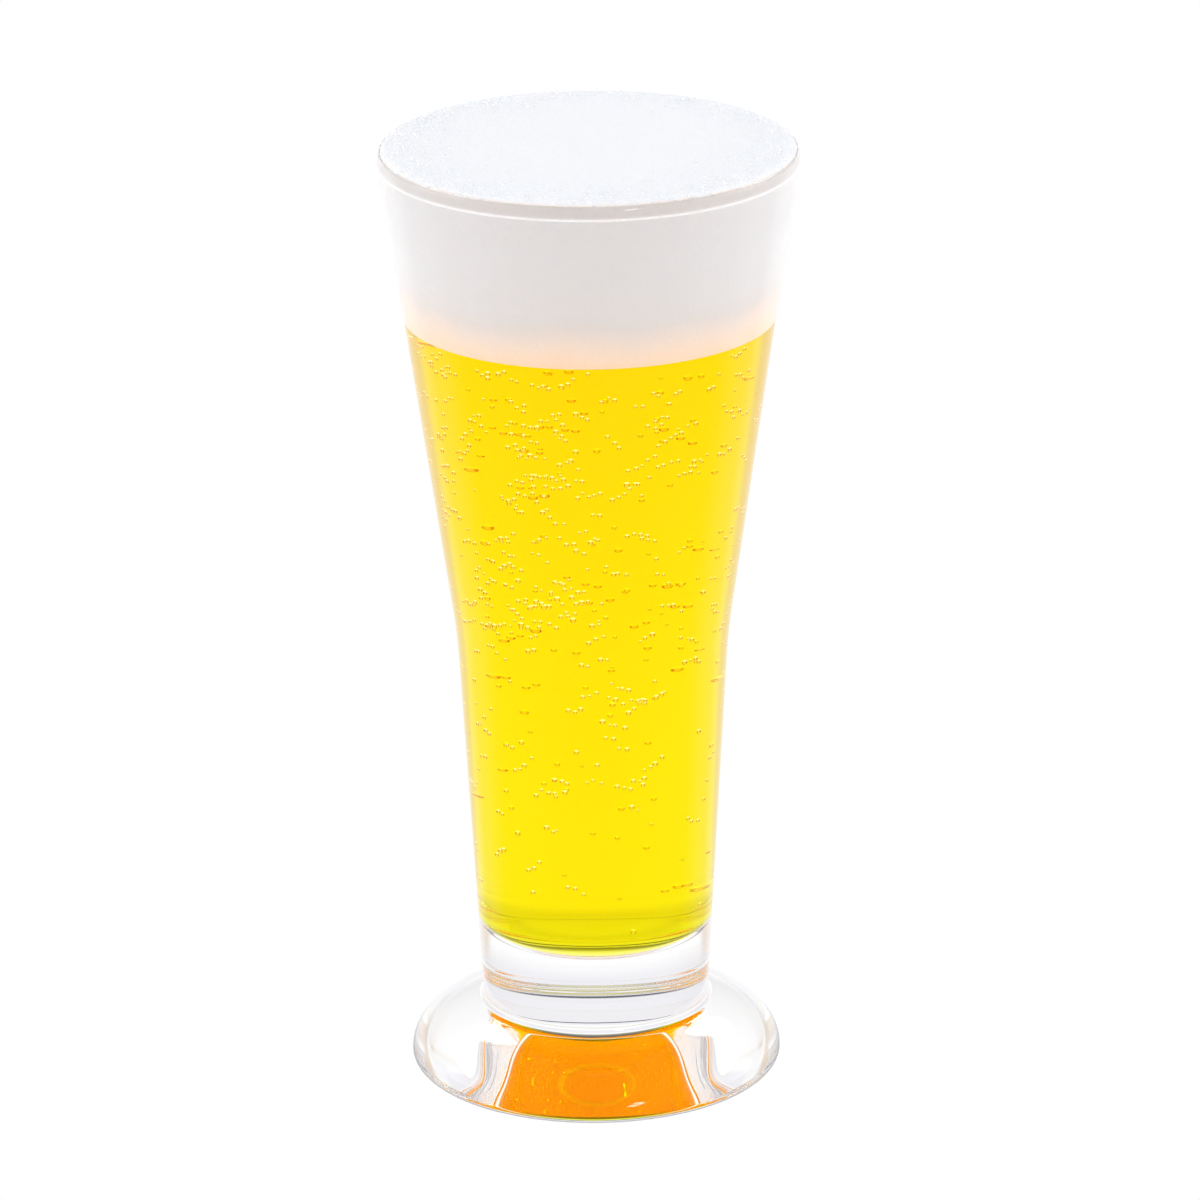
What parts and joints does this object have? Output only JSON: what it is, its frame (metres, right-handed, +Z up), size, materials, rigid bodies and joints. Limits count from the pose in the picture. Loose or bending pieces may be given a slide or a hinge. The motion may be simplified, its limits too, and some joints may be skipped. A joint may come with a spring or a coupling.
{
  "type": "pint of beer in a footed pilsner glass",
  "caption": "Full pint of clear pale lager in a tall footed pilsner glass: flared bowl over a narrow lower part, thick clear base, domed foot, and a thick white foam head just above the lip.",
  "frame": {"origin": "middle of the ring that the foot stands on", "axes": "+Z up along the glass's axis of revolution, from the foot to the lip; X and Y are level and equal"},
  "size_m": [0.0862, 0.0862, 0.2016],
  "materials": {
    "clear_glass": "clear polished soda glass, fire-polished lip, thick solid base and foot",
    "pale_lager": "bright clear pale yellow lager with fine gas bubbles",
    "beer_foam": "dense white foam of very fine bubbles, matte"
  },
  "bodies": {
    "root": {"glass": "clear_glass", "beer": "pale_lager", "foam": "beer_foam"}
  },
  "joints": []
}
